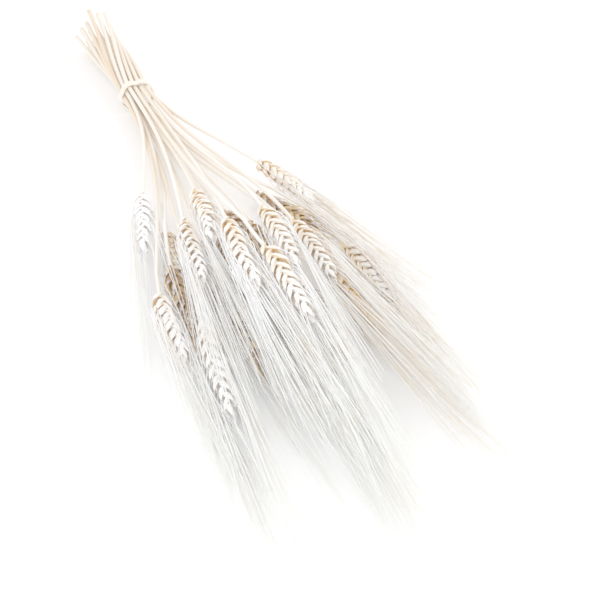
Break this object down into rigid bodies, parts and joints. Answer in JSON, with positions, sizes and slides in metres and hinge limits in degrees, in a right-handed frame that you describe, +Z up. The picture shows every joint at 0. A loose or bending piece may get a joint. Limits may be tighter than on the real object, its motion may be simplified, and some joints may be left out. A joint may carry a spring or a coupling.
{
  "type": "bunch of triticale ears",
  "caption": "Tied bunch of dried, bearded triticale ears on long bare straws, lying flat: overlapping spikelets, long bristling awns and a narrow band round the straws.",
  "frame": {"origin": "on the surface that the bunch lies on, under the middle of its bounding box", "axes": "+X along the bunch from the cut ends of the straws to the awn tips, +Z up from the surface"},
  "size_m": [0.6792, 0.208, 0.0578],
  "materials": {
    "straw": "bleached dry straw and chaff, satin",
    "latex": "natural tan latex, satin"
  },
  "bodies": {
    "root": {"ear_01": "straw", "ear_02": "straw", "ear_03": "straw", "ear_04": "straw", "ear_05": "straw", "ear_06": "straw", "ear_07": "straw", "ear_08": "straw", "ear_09": "straw", "ear_10": "straw", "ear_11": "straw", "ear_12": "straw", "ear_13": "straw", "ear_14": "straw", "ear_15": "straw", "ear_16": "straw", "ear_17": "straw", "ear_18": "straw", "ear_19": "straw", "ear_20": "straw", "ear_21": "straw", "ear_22": "straw", "ear_23": "straw", "ear_24": "straw", "band": "latex"}
  },
  "joints": []
}
